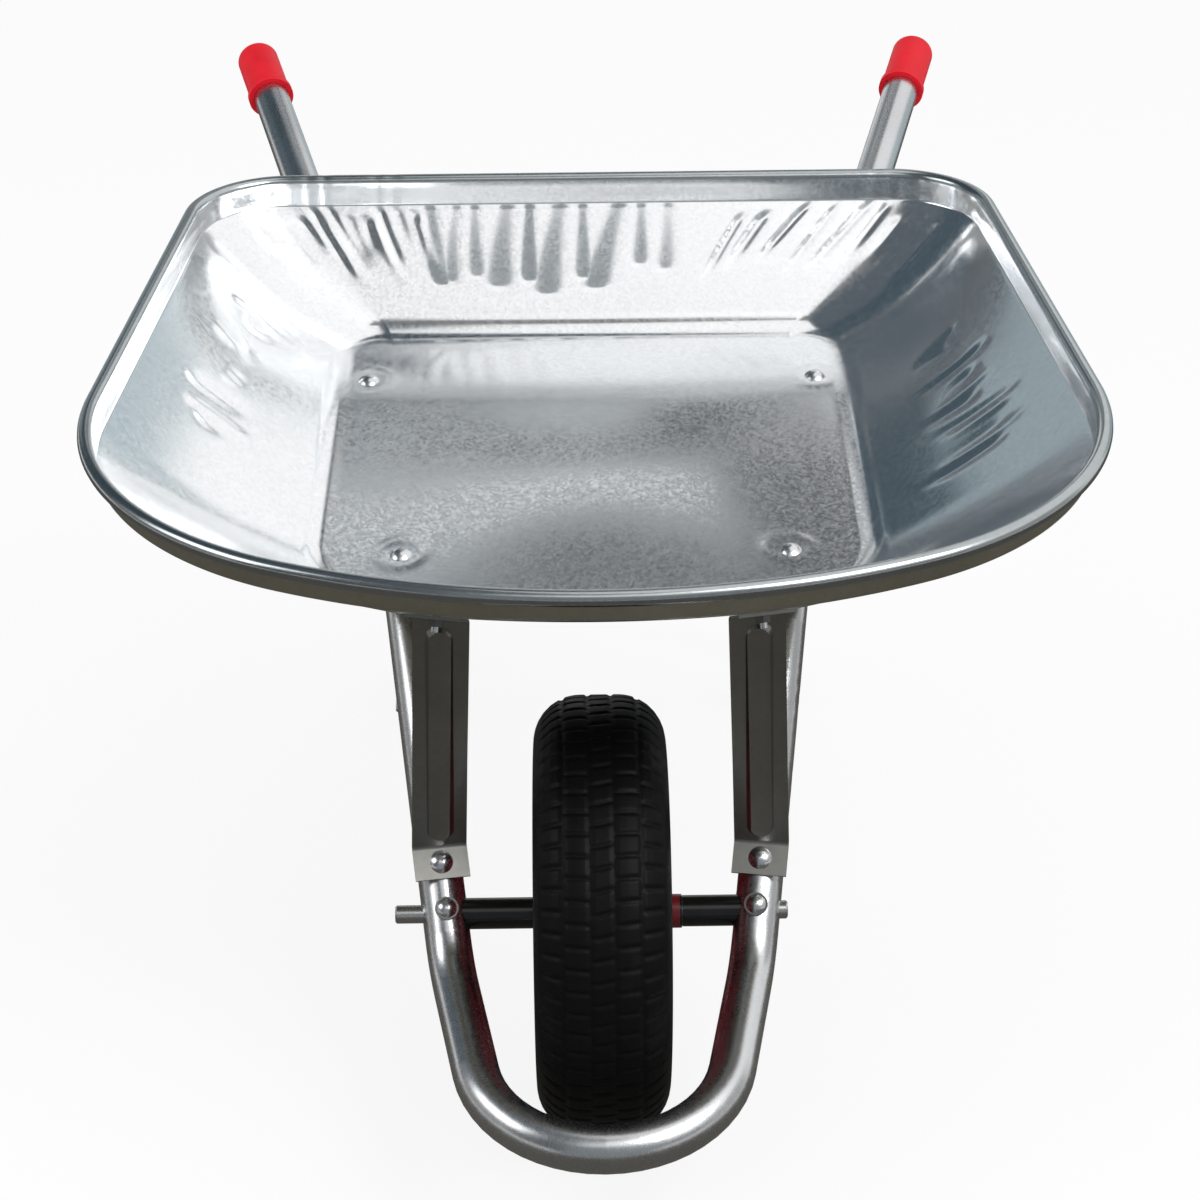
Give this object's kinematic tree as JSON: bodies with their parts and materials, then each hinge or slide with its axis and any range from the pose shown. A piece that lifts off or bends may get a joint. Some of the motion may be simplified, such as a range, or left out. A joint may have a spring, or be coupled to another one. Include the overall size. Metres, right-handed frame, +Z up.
{
  "type": "wheelbarrow",
  "caption": "Wheelbarrow with a pressed galvanised tray on a bent tube frame that loops round the wheel, red grips, hairpin legs and a pneumatic wheel that spins on its axle.",
  "frame": {"origin": "On the floor under the middle of the whole length, midway between the feet.", "axes": "+Z up, +Y back towards the grips, so the wheel is at -Y, and +X to the right seen from the wheel end."},
  "size_m": [0.7838, 1.2588, 0.5758],
  "materials": {
    "galvanised_sheet": "hot-dip zinc with a fine spangle",
    "galvanised_tube": "zinc plated, satin",
    "galvanised_strip": "zinc plated, dull",
    "zinc_fastener": "bright zinc",
    "bright_steel": "drawn steel",
    "red_grip": "soft moulded plastic",
    "black_spacer": "satin black",
    "bush_nylon": "nylon",
    "tyre": "matte rubber",
    "inner_tube": "butyl rubber",
    "red_rim": "red enamel",
    "valve_rubber": "black rubber"
  },
  "bodies": {
    "frame": {"frame_tube": "galvanised_tube", "tray": "galvanised_sheet", "strut_right": "galvanised_strip", "strut_left": "galvanised_strip", "strut_foot_bolts": "zinc_fastener", "strut_foot_washers": "zinc_fastener", "strut_foot_nuts": "zinc_fastener", "strut_head_bolts": "zinc_fastener", "strut_head_nuts": "zinc_fastener", "tray_bolts": "zinc_fastener", "tray_washers": "zinc_fastener", "tray_nuts": "zinc_fastener", "grip_right": "red_grip", "grip_left": "red_grip", "axle": "bright_steel", "axle_lock_bolts": "zinc_fastener", "axle_lock_washers": "zinc_fastener", "axle_lock_nuts": "zinc_fastener", "spacer_right": "black_spacer", "spacer_left": "black_spacer", "leg_right": "galvanised_tube", "leg_left": "galvanised_tube", "leg_bolts": "zinc_fastener", "leg_washers": "zinc_fastener", "leg_nuts": "zinc_fastener", "skid_right": "galvanised_tube", "skid_left": "galvanised_tube", "leg_brace": "galvanised_tube", "brace_bolts": "zinc_fastener", "brace_nuts": "zinc_fastener"},
    "wheel": {"tyre": "tyre", "inner_tube": "inner_tube", "rim_right": "red_rim", "rim_left": "red_rim", "rim_bolts": "zinc_fastener", "rim_nuts": "zinc_fastener", "hub": "red_rim", "bush_right": "bush_nylon", "bush_left": "bush_nylon", "valve_stem": "valve_rubber", "valve_cap": "valve_rubber"}
  },
  "joints": [
    {"name": "wheel_spin", "type": "hinge", "parent": "frame", "child": "wheel", "pos_m": [0, -0.39694, 0.167], "axis": [1, 0, 0], "continuous": true}
  ]
}
